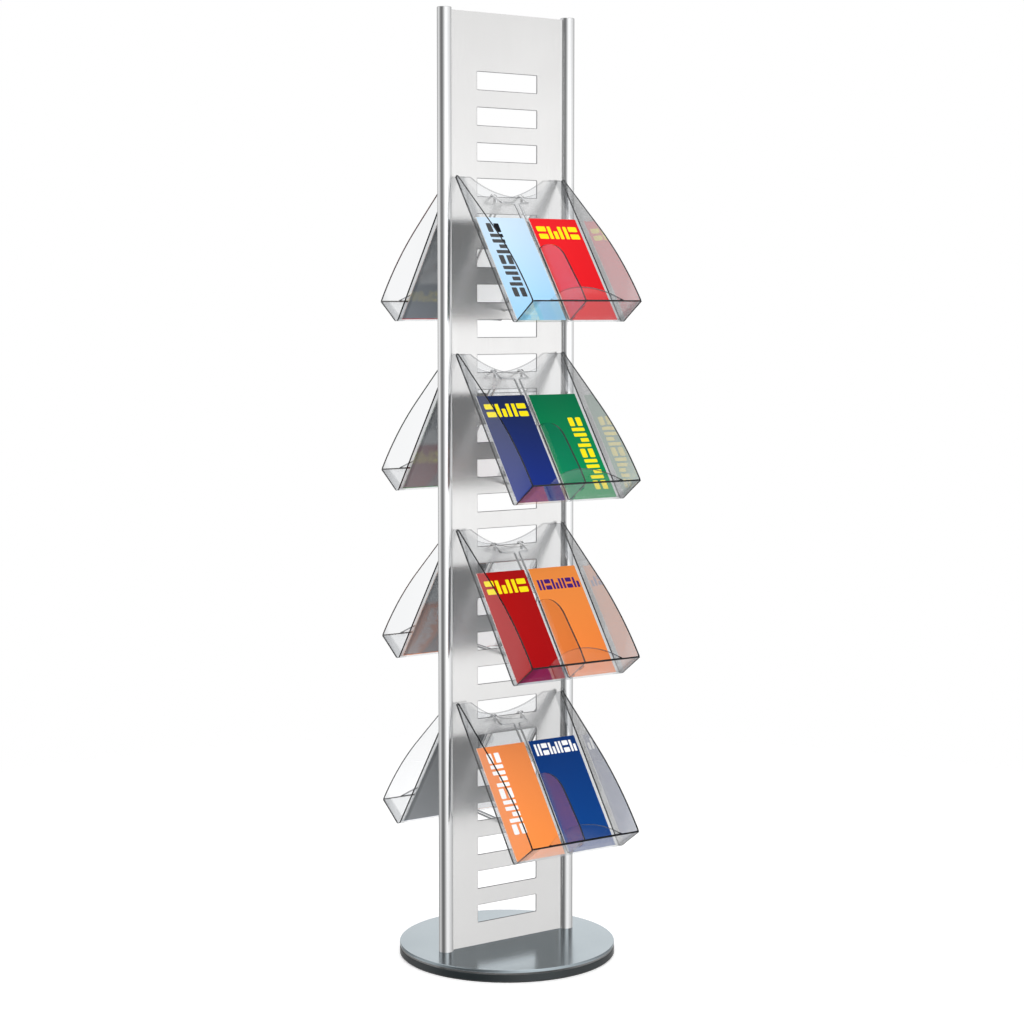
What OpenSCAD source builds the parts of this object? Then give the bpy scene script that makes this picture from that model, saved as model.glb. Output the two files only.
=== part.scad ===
// Rotating two-sided brochure rack.
// A slotted sheet panel stands between two tube posts on a turntable base. Clear trays hang from
// the panel's slots, four on each side, and each holds two stacks of slim leaflets.
// Frame: origin on the floor at the centre of the base, +Z up, +X along the panel, -Y to the front.
// A tray is drawn in its own frame: +X across, +Z up along its back plate, -Y into the tray.

/* [Base] */
// Diameter of the two base discs
disc_d = 378; // [340:2:420]
// Thickness of the fixed lower plate
base_t = 12; // [11:1:20]
// Thickness of the turning top plate
top_t = 5; // [4:0.5:8]
// Open gap between the two plates
gap_t = 3; // [3:0.5:4]
// Thickness of the rubber mat
mat_t = 2; // [2:0.5:3]

/* [Posts and panel] */
// Distance between the post axes
post_span = 258; // [250:2:300]
// Outer diameter of a post
post_d = 25; // [24:1:32]
// Wall thickness of a post
post_wall = 2; // [1.5:0.5:2.5]
// Height of the posts and the panel
post_h = 1610; // [1600:5:1800]
// Thickness of the panel
panel_t = 2; // [1.5:0.5:2]
// How far each panel edge reaches into its post
panel_grip = 7.5; // [5:0.5:8]

/* [Slots] */
// Number of slots in the panel
slot_count = 25; // [25:1:26]
// Width of a slot
slot_w = 125; // [120:1:140]
// Height of a slot
slot_h = 30; // [28:1:32]
// Distance from one slot to the next
slot_pitch = 60; // [56:1:60]
// Solid strip below the lowest slot
slot_foot = 40; // [30:5:60]

/* [Trays] */
// Slot from the top that holds the highest tray
first_slot = 4; // [4:1:5]
// Slots from one tray to the next
slots_per_tier = 5; // [5:1:5]
// Number of trays on each side
tiers = 4; // [1:1:4]
// Lean of the back plate from upright, in degrees
tray_tilt = 34.9; // [30:0.1:36]
// Outer width of a tray
tray_w = 226; // [222:1:234]
// Length of the back plate
tray_l = 300; // [295:1:305]
// Outer depth of the tray at its floor
tray_depth = 64; // [60:1:66]
// Thickness of the clear sheet
tray_t = 3; // [2.5:0.5:3]
// Distance from the panel's centre plane to the top edge of the back plate
tray_stand = 7; // [6:0.5:9]

/* [Leaflets] */
// Width of a leaflet
leaf_w = 99; // [95:1:100]
// Height of a leaflet
leaf_h = 210; // [200:1:220]
// Thickness of a stack
leaf_stack = 2; // [1:0.5:20]

/* [Hangers] */
// Diameter of the hanger wire
wire_d = 4; // [3:0.1:4.2]
// Distance between the two hooks
hook_span = 57; // [50:1:70]
// Sideways shift of the hooks, so that front and rear hooks share a slot
hook_shift = -2.8; // [-3:0.1:-2.6]
// Distance between the two long legs
leg_span = 9.6; // [9.2:0.1:14]

/* [Hidden] */
$fn = 64;
SIDES = ["front", "rear"];
TIERS = [1:tiers];
KINDS = ["tray", "hanger", "clamps", "divider", "leaflets"];
eps = 0.01;

// Heights of the base layers
base_z = mat_t;
base_top = base_z + base_t;
plate_z = base_top + gap_t;
disc_top = plate_z + top_t;

// Base details
base_r = disc_d / 2;
edge_chamfer = 0.8;
mat_inset = 3;
mat_hole_r = 30;

// Pivot: bolt in a bush, held from below by a washer and a thin nut
bolt_r = 5;
bolt_head_r = 11;
bolt_head_h = 2.5;
bolt_key_r = 3.5;
bolt_key_h = 1.5;
bush_r = 7;
running_clearance = 0.05;
nut_well_r = 15;
nut_well_h = 6;
washer_r = 10;
washer_t = 1;
washer_play = 0.1;
nut_r = 9.2;
nut_h = 5;
bolt_end_z = 1.3;

// Thrust ball bearing between the plates
race_t = 2.5;
race_inner_r = 30;
race_outer_r = 44;
ball_count = 18;
ball_r = 2.5;
ball_circle_r = 37;
groove_r = 2.6;
bearing_play = 0.05;
recess_inner_r = 26;
recess_outer_r = 46;
recess_h = 5;
ball_z = base_top - recess_h + race_t + (recess_h + gap_t - 2 * race_t) / 2;
cage_t = 1.4;
cage_inner_r = 33;
cage_outer_r = 41;

// Posts
post_r = post_d / 2;
bore_r = post_r - post_wall;
post_x = post_span / 2;
panel_w = post_span - 2 * (post_r - panel_grip);
groove_play = 0.1;
plug_h = 30;
cap_h = 3;
cap_plug_h = 14;
cap_chamfer = 0.6;
screw_r = 3;
screw_head_r = 6;
screw_head_h = 3;
screw_l = 24;
screw_hole_h = 22;
key_hex_r = 2.3;

// Slots and trays
slot_corner = 1;
function slot_edge(n) = disc_top + slot_foot + (slot_count - n) * slot_pitch;
function tier_slot(k) = first_slot + (k - 1) * slots_per_tier;
function tier_edge(k) = slot_edge(tier_slot(k));
tray_rise = slot_h;
back_y = -tray_stand - tray_l * sin(tray_tilt);
back_drop = tray_l * cos(tray_tilt) - tray_rise;
side_arc_r = 625;
side_arc_from = 5;
side_arc_angle = 15.1;
lip_h = 30;
lip_half = 79;
lip_r = (lip_half * lip_half + lip_h * lip_h) / (2 * lip_h);
scoop_h = 40;
scoop_half = 82;
scoop_r = (scoop_half * scoop_half + scoop_h * scoop_h) / (2 * scoop_h);

// Divider between the two stacks
divider_t = 3;
divider_play = 0.1;
divider_front = 61;
divider_step = 30;
divider_nose_r = 60;
divider_nose = [-4.5, 92];
divider_lean = 4.2;
divider_corner = 4;
tab_w = 12;
tab_h = 2.5;
tab_places = [14, 46];
leaf_play = 0.1;
leaf_gap = 4.6;
leaf_shift = -2.8;

// Clear blocks that hold the wire to the back plate
clamp_w = 24;
clamp_h = 12;
clamp_depth = 7;
clamp_places = [60, 205];
clamp_reach = 8;
wire_r = wire_d / 2;
wire_hole_r = wire_r + 0.05;
wire_sides = 8;
leg_x = leg_span / 2;
leg_back = clamp_depth / 2;

// Hanger route, beside the slot's lower edge, as [Y, Z] from that edge
hook_gap = 0.3;
hook_r = panel_t / 2 + hook_gap + wire_r;
hook_z = -0.7;
hook_drop = 9.5;
hook_slope = 25.6;
hook_steps = 5;
wire_bend = 4;
bar_at = [-28, -11];
foot_gap = 0.3;
foot_z = tray_rise - slot_pitch * 4 + slot_h / 2;
foot_y = -panel_t / 2 - foot_gap - wire_r;

function unit(v) = v / norm(v);

// A point given in the tray's own frame, from the slot's lower edge
function tray_point(x, back, up) = [
    x,
    back_y + back * cos(tray_tilt) + up * sin(tray_tilt),
    -back_drop - back * sin(tray_tilt) + up * cos(tray_tilt)];

// A corner turned into a short round bend
function bend(a, p, b, r) =
    let (from = p + unit(a - p) * r, to = p + unit(b - p) * r)
    [for (s = [0, 0.25, 0.5, 0.75, 1])
        (1 - s) * (1 - s) * from + 2 * s * (1 - s) * p + s * s * to];

function bends(points, r) = [
    for (i = [1:len(points) - 2])
        for (q = bend(points[i - 1], points[i], points[i + 1], r)) q];

function hook_arc(x) = [
    for (i = [0:hook_steps])
        let (a = (90 + hook_slope) * i / hook_steps)
        [x, hook_r * cos(a), hook_z + hook_r * sin(a)]];

// Half of the wire, from the hook's end to the foot against the panel
function half_wire(x, leg) =
    let (
        bar = [x, bar_at[0], bar_at[1]],
        turn = [leg, bar_at[0], bar_at[1]],
        clamp_high = tray_point(leg, leg_back, clamp_places[1] + clamp_reach),
        clamp_low = tray_point(leg, leg_back, clamp_places[0] - clamp_h - clamp_reach),
        foot = [leg, foot_y, foot_z])
    concat(
        [[x, hook_r, hook_z - hook_drop]],
        hook_arc(x),
        bends(
            [hook_arc(x)[hook_steps], bar, turn, clamp_high, clamp_low, foot, [0, foot_y, foot_z]],
            wire_bend));

function reversed(list) = [for (i = [len(list) - 1:-1:0]) list[i]];

hanger_route = concat(
    half_wire(hook_shift - hook_span / 2, -leg_x),
    reversed(half_wire(hook_shift + hook_span / 2, leg_x)));

function tangent(route, i) = unit(route[min(i + 1, len(route) - 1)] - route[max(i - 1, 0)]);

function square_to(n, t) = unit(n - (n * t) * t);

function normals(route, i, n) =
    i == len(route) ? [] :
    let (m = square_to(n, tangent(route, i))) concat([m], normals(route, i + 1, m));

// A round wire swept along a route
module wire(route, r, sides) {
    count = len(route);
    across = normals(route, 0, [1, 0, 0]);
    points = [
        for (i = [0:count - 1])
            let (t = tangent(route, i), m = across[i], o = cross(t, m))
            for (j = [0:sides - 1])
                route[i] + r * (cos(360 * j / sides) * m + sin(360 * j / sides) * o)];
    walls = [
        for (i = [0:count - 2]) for (j = [0:sides - 1])
            let (a = i * sides + j, b = i * sides + (j + 1) % sides)
            each [[a, a + sides, b + sides], [a, b + sides, b]]];
    first = [[for (j = [0:sides - 1]) j]];
    last = [[for (j = [sides - 1:-1:0]) (count - 1) * sides + j]];
    polyhedron(points, concat(walls, first, last));
}

// A disc with chamfered rims, from z upwards
module disc(r, z, t, chamfer) {
    translate([0, 0, z]) rotate_extrude($fn = 180) polygon([
        [0, 0], [r - chamfer, 0], [r, chamfer], [r, t - chamfer], [r - chamfer, t], [0, t]]);
}

module tube_ring(outer, inner, z, h) {
    translate([0, 0, z]) difference() {
        cylinder(r = outer, h = h);
        translate([0, 0, -1]) cylinder(r = inner, h = h + 2);
    }
}

// The bearing groove, as a torus around the ball circle
module ball_groove(z) {
    translate([0, 0, z]) rotate_extrude() translate([ball_circle_r, 0]) circle(r = groove_r);
}

module ball_ring(r) {
    for (i = [0:ball_count - 1])
        rotate([0, 0, i * 360 / ball_count]) translate([ball_circle_r, 0, ball_z]) sphere(r = r);
}

module at_posts() {
    for (s = [-1, 1]) translate([s * post_x, 0, 0]) children();
}

// A solid with the given [depth, height] outline, across the tray from x_high - t to x_high
module across_tray(x_high, t) {
    translate([x_high, 0, 0]) rotate([90, 0, -90]) linear_extrude(t) children();
}

// A solid with the given [x, height] outline, standing front to back from depth y to y + t
module along_back(y, t) {
    translate([0, -y, 0]) rotate([90, 0, 0]) linear_extrude(t) children();
}

module base_mat() {
    color("dimgray") tube_ring(base_r - mat_inset, mat_hole_r, 0, mat_t, $fn = 180);
}

module base_plate() {
    color("darkslategray") difference() {
        disc(base_r, base_z, base_t, edge_chamfer);
        tube_ring(recess_outer_r, recess_inner_r, base_top - recess_h, recess_h + 1);
        translate([0, 0, base_z - 1]) cylinder(r = nut_well_r, h = nut_well_h + 1);
        translate([0, 0, base_z]) cylinder(r = bush_r, h = base_t + 1);
    }
}

module bearing_lower_race() {
    color("silver") difference() {
        tube_ring(race_outer_r, race_inner_r, base_top - recess_h, race_t);
        ball_groove(ball_z + groove_r - ball_r);
    }
}

module bearing_upper_race() {
    color("silver") difference() {
        tube_ring(race_outer_r, race_inner_r, plate_z - race_t, race_t);
        ball_groove(ball_z - groove_r + ball_r + bearing_play);
    }
}

module bearing_balls() {
    color("gainsboro") ball_ring(ball_r);
}

module bearing_cage() {
    color("ivory") difference() {
        tube_ring(cage_outer_r, cage_inner_r, ball_z - cage_t / 2, cage_t);
        for (i = [0:ball_count - 1])
            rotate([0, 0, i * 360 / ball_count]) translate([ball_circle_r, 0, ball_z - cage_t])
                cylinder(r = ball_r + bearing_play, h = 2 * cage_t);
    }
}

module pivot_bush() {
    bush_z = base_z + nut_well_h;
    color("goldenrod")
        tube_ring(bush_r, bolt_r + running_clearance, bush_z, base_top - bush_z);
}

module turntable_plate() {
    color("lightsteelblue") difference() {
        disc(base_r, plate_z, top_t, edge_chamfer);
        translate([0, 0, plate_z - 1]) cylinder(r = bolt_r, h = top_t + 2);
        translate([0, 0, disc_top - bolt_head_h]) cylinder(r = bolt_head_r, h = bolt_head_h + 1);
        at_posts() {
            translate([0, 0, plate_z - 1]) cylinder(r = screw_r, h = top_t + 2);
            translate([0, 0, plate_z])
                cylinder(r1 = screw_head_r, r2 = screw_r, h = screw_head_h);
            translate([0, 0, plate_z - 1]) cylinder(r = screw_head_r, h = 1);
        }
    }
}

module pivot_bolt() {
    color("dimgray") difference() {
        union() {
            translate([0, 0, bolt_end_z]) cylinder(r = bolt_r, h = disc_top - bolt_end_z);
            translate([0, 0, disc_top - bolt_head_h]) cylinder(r = bolt_head_r, h = bolt_head_h);
        }
        translate([0, 0, disc_top - bolt_key_h]) cylinder(r = bolt_key_r, h = bolt_key_h + 1, $fn = 6);
    }
}

module pivot_washer() {
    color("silver")
        tube_ring(washer_r, bolt_r, base_z + nut_well_h - washer_play - washer_t, washer_t);
}

module pivot_nut() {
    nut_z = base_z + nut_well_h - washer_play - washer_t - nut_h;
    color("silver") translate([0, 0, nut_z]) difference() {
        cylinder(r = nut_r, h = nut_h, $fn = 6);
        translate([0, 0, -1]) cylinder(r = bolt_r, h = nut_h + 2);
    }
}

// A rectangle from [-w/2, 0] to [w/2, h] with small round corners
module slot_outline(w, h, r) {
    translate([-w / 2 + r, 0]) square([w - 2 * r, h]);
    translate([-w / 2, r]) square([w, h - 2 * r]);
    for (x = [-w / 2 + r, w / 2 - r]) for (y = [r, h - r]) translate([x, y]) circle(r = r, $fn = 24);
}

module panel() {
    color("gainsboro") translate([0, panel_t / 2, disc_top]) rotate([90, 0, 0])
        linear_extrude(panel_t) difference() {
            translate([-panel_w / 2, 0]) square([panel_w, post_h]);
            for (n = [1:slot_count]) translate([0, slot_edge(n) - disc_top])
                slot_outline(slot_w, slot_h, slot_corner);
        }
}

// The groove that takes the panel's edge, cut from a post part on the right-hand side
module edge_groove(z, h) {
    groove_w = panel_t + 2 * groove_play;
    translate([-post_r - 1, -groove_w / 2, z])
        cube([panel_grip + groove_play + 1, groove_w, h]);
}

module post(z, h) {
    difference() {
        tube_ring(post_r, bore_r, z, h);
        edge_groove(z - 1, h + 2);
    }
}

module post_plug() {
    difference() {
        translate([0, 0, disc_top]) cylinder(r = bore_r, h = plug_h);
        translate([0, 0, disc_top - 1]) cylinder(r = screw_r, h = screw_hole_h + 1);
        edge_groove(disc_top - 1, plug_h + 2);
    }
}

module post_cap() {
    cap_z = disc_top + post_h;
    disc_profile = [
        [0, 0], [post_r, 0], [post_r, cap_h - cap_chamfer], [post_r - cap_chamfer, cap_h], [0, cap_h]];
    translate([0, 0, cap_z]) rotate_extrude() polygon(disc_profile);
    difference() {
        translate([0, 0, cap_z - cap_plug_h]) cylinder(r = bore_r, h = cap_plug_h + eps);
        edge_groove(cap_z - cap_plug_h - 1, cap_plug_h + 1);
    }
}

module at_right() {
    translate([post_x, 0, 0]) children();
}

module at_left() {
    rotate([0, 0, 180]) translate([post_x, 0, 0]) children();
}

module post_screws() {
    color("dimgray") at_posts() difference() {
        union() {
            translate([0, 0, plate_z]) cylinder(r = screw_r, h = screw_l);
            translate([0, 0, plate_z])
                cylinder(r1 = screw_head_r, r2 = screw_r, h = screw_head_h);
        }
        translate([0, 0, plate_z - 1]) cylinder(r = key_hex_r, h = 1 + screw_head_h / 2, $fn = 6);
    }
}

// Side wall: straight and deep at the floor, curving back to a narrow top
module side_outline() {
    arc_top = side_arc_from + side_arc_r * sin(side_arc_angle);
    arc_depth = tray_depth - side_arc_r * (1 - cos(side_arc_angle));
    top_depth = arc_depth - (tray_l - arc_top) * tan(side_arc_angle);
    difference() {
        union() {
            square([tray_depth, side_arc_from + eps]);
            intersection() {
                translate([0, side_arc_from]) square([tray_depth, arc_top - side_arc_from]);
                translate([tray_depth - side_arc_r, side_arc_from]) circle(r = side_arc_r, $fn = 720);
            }
            polygon([[0, arc_top - eps], [arc_depth, arc_top - eps], [arc_depth, arc_top],
                [top_depth, tray_l], [0, tray_l]]);
        }
        back_corner();
    }
}

// What the rounded fold between floor and back plate takes off a square corner
module back_corner() {
    difference() {
        translate([-1, -1]) square(tray_t + 1);
        translate([tray_t, tray_t]) circle(r = tray_t);
    }
}

module fold_outline() {
    difference() {
        union() {
            square([tray_depth, tray_t]);
            square([tray_t, tray_l]);
        }
        back_corner();
    }
}

module tray() {
    color("lightcyan", 0.4) difference() {
        union() {
            across_tray(tray_w / 2, tray_w) fold_outline();
            across_tray(tray_w / 2, tray_t) side_outline();
            across_tray(tray_t - tray_w / 2, tray_t) side_outline();
            along_back(tray_depth - tray_t, tray_t) intersection() {
                translate([0, lip_h - lip_r]) circle(r = lip_r, $fn = 180);
                translate([-lip_half, 0]) square([2 * lip_half, lip_h + 1]);
            }
        }
        along_back(-1, tray_t + 2)
            translate([0, tray_l - scoop_h + scoop_r]) circle(r = scoop_r, $fn = 180);
        for (y = tab_places)
            translate([-divider_t / 2 - divider_play, -y - tab_w / 2 - divider_play, -1])
                cube([divider_t + 2 * divider_play, tab_w + 2 * divider_play, tray_t + 2]);
    }
}

// Divider: rises to the back plate in one large curve, with two tabs that drop into the floor
module divider() {
    foot = tray_t + divider_play;
    front = divider_front - divider_play;
    tabs = [
        for (y = [tab_places[1], tab_places[0]])
            each [[y + tab_w / 2, foot], [y + tab_w / 2, foot - tab_h],
                [y - tab_w / 2, foot - tab_h], [y - tab_w / 2, foot]]];
    nose_end = acos((foot - divider_nose[0]) / divider_nose_r);
    nose = [
        for (a = [divider_lean:(nose_end - divider_lean) / 18:nose_end + eps])
            divider_nose + divider_nose_r * [cos(a), sin(a)]];
    color("lightcyan", 0.5) across_tray(divider_t / 2, divider_t) polygon(concat(
        [[foot, foot + divider_corner]],
        reversed(tabs),
        [[front, foot], [front, divider_step]],
        nose));
}

module leaflets() {
    floor_z = tray_t + leaf_play;
    color("lightsalmon") for (x = [-leaf_gap - leaf_w, leaf_gap])
        translate([leaf_shift + x, -floor_z - leaf_stack, floor_z]) cube([leaf_w, leaf_stack, leaf_h]);
}

module clamps() {
    color("lightcyan", 0.6) for (z = clamp_places) difference() {
        translate([-clamp_w / 2, 0, z - clamp_h]) cube([clamp_w, clamp_depth, clamp_h]);
        for (s = [-1, 1]) translate([s * leg_x, leg_back, z - clamp_h - 1])
            cylinder(r = wire_hole_r, h = clamp_h + 2, $fn = 24);
    }
}

module hanger() {
    color("lightgray") wire(hanger_route, wire_r, wire_sides);
}

// Turns a front-side shape to its own side and lifts it to its slot's lower edge
module at_slot(side, k) {
    rotate([0, 0, side == "rear" ? 180 : 0]) translate([0, 0, tier_edge(k)]) children();
}

module in_tray(side, k) {
    at_slot(side, k) translate([0, back_y, -back_drop]) rotate([-tray_tilt, 0, 0]) children();
}

module part_of(kind, side, k) {
    if (kind == "tray") in_tray(side, k) tray();
    if (kind == "divider") in_tray(side, k) divider();
    if (kind == "leaflets") in_tray(side, k) leaflets();
    if (kind == "clamps") in_tray(side, k) clamps();
    if (kind == "hanger") at_slot(side, k) hanger();
}

base_mat();
base_plate();
bearing_lower_race();
bearing_balls();
bearing_cage();
pivot_bush();
turntable_plate();
bearing_upper_race();
pivot_bolt();
pivot_washer();
pivot_nut();
panel();
color("lightgray") at_left() post(disc_top, post_h);  // post_left
color("lightgray") at_right() post(disc_top, post_h);  // post_right
color("gray") at_left() post_plug();  // post_plug_left
color("gray") at_right() post_plug();  // post_plug_right
color("lightgray") at_left() post_cap();  // post_cap_left
color("lightgray") at_right() post_cap();  // post_cap_right
post_screws();
for (side = SIDES) for (k = TIERS) for (kind = KINDS)
    part_of(kind, side, k);
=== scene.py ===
"""Looks of the rotating brochure rack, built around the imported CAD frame. Units are metres."""

import math
import random

import bmesh
import bpy
from mathutils import Matrix, Vector


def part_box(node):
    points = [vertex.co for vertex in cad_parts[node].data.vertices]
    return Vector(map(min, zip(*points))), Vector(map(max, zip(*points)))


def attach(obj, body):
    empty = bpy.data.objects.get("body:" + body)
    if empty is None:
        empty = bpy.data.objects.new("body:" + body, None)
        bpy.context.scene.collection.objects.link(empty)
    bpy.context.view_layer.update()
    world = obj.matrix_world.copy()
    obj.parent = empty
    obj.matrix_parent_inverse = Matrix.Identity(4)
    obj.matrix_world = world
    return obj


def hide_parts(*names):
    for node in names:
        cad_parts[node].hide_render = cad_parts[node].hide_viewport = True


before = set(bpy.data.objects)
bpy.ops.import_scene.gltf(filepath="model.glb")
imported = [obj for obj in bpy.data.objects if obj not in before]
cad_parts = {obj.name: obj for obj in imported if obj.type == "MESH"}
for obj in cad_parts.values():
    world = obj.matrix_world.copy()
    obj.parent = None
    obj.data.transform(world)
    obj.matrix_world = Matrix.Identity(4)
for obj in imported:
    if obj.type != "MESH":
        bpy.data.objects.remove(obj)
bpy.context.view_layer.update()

SIDES = ("front", "rear")
TIERS = (1, 2, 3, 4)

# Tray sizes, as the CAD has them
TILT = math.radians(34.9)
TRAY_L = 0.300
TRAY_W = 0.226
TRAY_DEPTH = 0.064
SHEET = 0.003
SCOOP_HALF = 0.082
SCOOP_H = 0.040
LIP_HALF = 0.079
LIP_H = 0.030
SIDE_ARC_R = 0.625
SIDE_ARC_FROM = 0.005
SIDE_ARC_ANGLE = math.radians(15.1)
FOLD_R = 0.0045
# How far a tray's top is above the lower edge of its slot
TRAY_TOP = 0.030

# The tray's mesh: steps round the fold, rows of the back plate, the gap between the bent sheet
# and a side wall, two corner radii of a side wall, and how far the cut edges are rounded over
FOLD_STEPS = 8
BACK_ROWS = 6
SIDE_PLAY = 0.00005
SIDE_FOOT_R = 0.001
SIDE_TOP_R = 0.0015
SIDE_BEVEL = 0.0013
LIP_BEVEL = 0.0006

# Divider: thickness, rounded edge, depth of its straight front, that front's top and its foot's
# corner. Its large curve is round NOSE, (depth, height), from LEAN degrees above the level
DIVIDER_T = 0.003
DIVIDER_BEVEL = 0.0008
DIVIDER_FRONT = 0.0609
DIVIDER_STEP = 0.030
DIVIDER_CORNER = 0.0015
NOSE = (-0.0045, 0.092)
NOSE_R = 0.060
LEAN = 4.2
# The divider's tabs: their depths, half their length, their drop, and the gap round them
TAB_PLACES = (0.014, 0.046)
TAB_HALF = 0.006
TAB_DROP = 0.0025
TAB_PLAY = 0.0001
# Gap that a leaflet or divider keeps to the tray
REST_GAP = 0.0001

# Leaflets: their size, the left edges of the two stacks, and a stack's thickness
LEAF_W = 0.099
LEAF_H = 0.210
LEAF_LEFT = -0.1064
LEAF_RIGHT = 0.0018
STACK = 0.002
# Leaflets in a stack, how much of each one's room is paper, how far one lies out of line
# sideways and upwards, and its rounded edge
LEAVES = 6
LEAF_SHARE = 0.86
LEAF_SHIFT = 0.0002
LEAF_RISE = 0.0011
LEAF_BEVEL = 0.00006
# A heading's thickness, and how much of it is sunk into the cover
INK_T = 0.00007
INK_SUNK = 0.00002

# Slots of the panel
SLOTS = 25
SLOT_W = 0.125
SLOT_H = 0.030
SLOT_PITCH = 0.060
SLOT_FOOT = 0.040
SLOT_CORNER = 0.001
SLOT_EDGE_STEPS = 6

# Posts: the tube's wall, and half the width of the groove for the panel
POST_WALL = 0.002
GROOVE_HALF = 0.0011

# Hanger wire, with places measured from the lower edge of its slot. HOOK_SLOPE is in degrees
WIRE_R = 0.002
HOOK_R = 0.0033
HOOK_Z = -0.0007
HOOK_DROP = 0.0095
HOOK_SLOPE = 25.6
HOOK_X = (-0.0313, 0.0257)
LEG_X = 0.0048
BAR_Y, BAR_Z = -0.028, -0.011
FOOT_Z = -0.195
FOOT_Y = -0.0033
CLAMP_HIGH, CLAMP_LOW = 0.213, 0.040
CLAMP_BACK = 0.0035
WIRE_BEND = 0.005
# The most of a straight run that one bend takes
BEND_SHARE = 0.45
# Points of the wire's path that are closer than this are one
SAME_POINT = 0.0002

# Material slots. These two are the same in every piece that has more than one
FACE, RIM = 0, 1
# The other slots of a tray shell
INNER_FACE, LIP_RIM, BENT_FACE, CORNER_FACE, TOP_RIM = 2, 3, 4, 5, 6
# The other slots of a leaflet stack
INK_FACE, BACK_FACE = 2, 3


# ---------------------------------------------------------------- node helpers


def linear(red, green, blue):
    """A linear colour from one given as it looks on a screen, 0 to 255."""
    def one(v):
        v /= 255
        return v / 12.92 if v <= 0.04045 else ((v + 0.055) / 1.055) ** 2.4
    return (one(red), one(green), one(blue), 1.0)


def scaled(colour, k):
    """The colour k times as bright."""
    return tuple(min(1.0, c * k) for c in colour[:3]) + (1.0,)


class Tree:
    """A short way to write the nodes of a material or of the world."""

    def __init__(self, owner, output_kind):
        owner.use_nodes = True
        self.owner = owner
        self.nodes = owner.node_tree.nodes
        self.links = owner.node_tree.links
        self.nodes.clear()
        self.output = self.add(output_kind)

    def add(self, kind, **settings):
        node = self.nodes.new(kind)
        for key, value in settings.items():
            setattr(node, key, value)
        return node

    def put(self, value, target):
        """Links value to the target if it is a socket, or else sets the target to it."""
        if isinstance(value, bpy.types.NodeSocket):
            self.links.new(value, target)
        else:
            target.default_value = value

    def position(self, stretch):
        """The object's own coordinates in metres, stretched along each axis."""
        coordinates = self.add("ShaderNodeTexCoord")
        scale = self.add("ShaderNodeMapping")
        self.put(stretch, scale.inputs["Scale"])
        self.put(coordinates.outputs["Object"], scale.inputs["Vector"])
        return scale.outputs["Vector"]

    def noise(self, scale, detail, stretch=(1, 1, 1)):
        node = self.add("ShaderNodeTexNoise")
        self.put(scale, node.inputs["Scale"])
        self.put(detail, node.inputs["Detail"])
        self.put(self.position(stretch), node.inputs["Vector"])
        return node.outputs["Fac"]

    def spread(self, source, low, high, from_low=0.3, from_high=0.7):
        """source mapped onto the range from low to high; the defaults suit a noise."""
        node = self.add("ShaderNodeMapRange")
        for key, value in (("From Min", from_low), ("From Max", from_high), ("To Min", low),
                           ("To Max", high), ("Value", source)):
            self.put(value, node.inputs[key])
        return node.outputs["Result"]

    def colours(self, factor, first, second, blend="MIX"):
        """The colour first where factor is 0, blended with second where it is 1."""
        node = self.add("ShaderNodeMix", data_type="RGBA", blend_type=blend)
        for key, value in (("A", first), ("B", second), ("Factor", factor)):
            self.put(value, node.inputs[key])
        return node.outputs["Result"]

    def calculate(self, operation, *values):
        node = self.add("ShaderNodeMath", operation=operation)
        for value, target in zip(values, node.inputs):
            self.put(value, target)
        return node.outputs[0]

    def bump(self, source, strength, distance):
        node = self.add("ShaderNodeBump")
        self.put(strength, node.inputs["Strength"])
        self.put(distance, node.inputs["Distance"])
        self.put(source, node.inputs["Height"])
        return node.outputs["Normal"]

    def surface(self, **settings):
        """A Principled shader; a setting is a value, or a socket to link."""
        shader = self.add("ShaderNodeBsdfPrincipled")
        for key, value in settings.items():
            self.put(value, shader.inputs[key.replace("_", " ")])
        return shader

    def mix(self, factor, first, second):
        """The shader first where factor is 0, and second where it is 1."""
        node = self.add("ShaderNodeMixShader")
        self.put(factor, node.inputs["Fac"])
        self.put(first.outputs[0], node.inputs[1])
        self.put(second.outputs[0], node.inputs[2])
        return node

    def finish(self, shader):
        self.put(shader.outputs[0], self.output.inputs["Surface"])
        return self.owner


def material_tree(name):
    return Tree(bpy.data.materials.new(name), "ShaderNodeOutputMaterial")


# ---------------------------------------------------------------- materials


def brushed_metal(name, light, dark, rough, grain, depth=0.00002, metallic=1.0):
    """Satin metal with fine lines; grain stretches them along an axis."""
    t = material_tree(name)
    lines = t.noise(900, 2, grain)
    cloud = t.noise(5, 3)
    return t.finish(t.surface(
        Base_Color=t.colours(t.spread(cloud, 0, 1), light, dark),
        Metallic=metallic,
        Roughness=t.spread(lines, rough[0], rough[1]),
        Normal=t.bump(lines, 0.25, depth)))


def painted_metal(name, light, dark, rough):
    """Fine textured paint with a soft sheen."""
    t = material_tree(name)
    grain = t.noise(1600, 3)
    cloud = t.noise(9, 3)
    return t.finish(t.surface(
        Base_Color=t.colours(t.spread(cloud, 0, 1), light, dark),
        Roughness=t.spread(grain, rough[0], rough[1]),
        Coat_Weight=0.25, Coat_Roughness=0.25,
        Normal=t.bump(grain, 0.35, 0.00015)))


def rubber(name):
    t = material_tree(name)
    grain = t.noise(2500, 4)
    return t.finish(t.surface(
        Base_Color=t.colours(t.spread(grain, 0, 1), linear(30, 30, 30), linear(44, 44, 44)),
        Roughness=t.spread(grain, 0.75, 0.95),
        Normal=t.bump(grain, 0.6, 0.0003)))


def plain_plastic(name, light, dark):
    t = material_tree(name)
    grain = t.noise(1800, 2)
    return t.finish(t.surface(
        Base_Color=t.colours(t.spread(grain, 0, 1), light, dark),
        Roughness=t.spread(grain, 0.35, 0.55),
        Normal=t.bump(grain, 0.2, 0.0001)))


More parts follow.
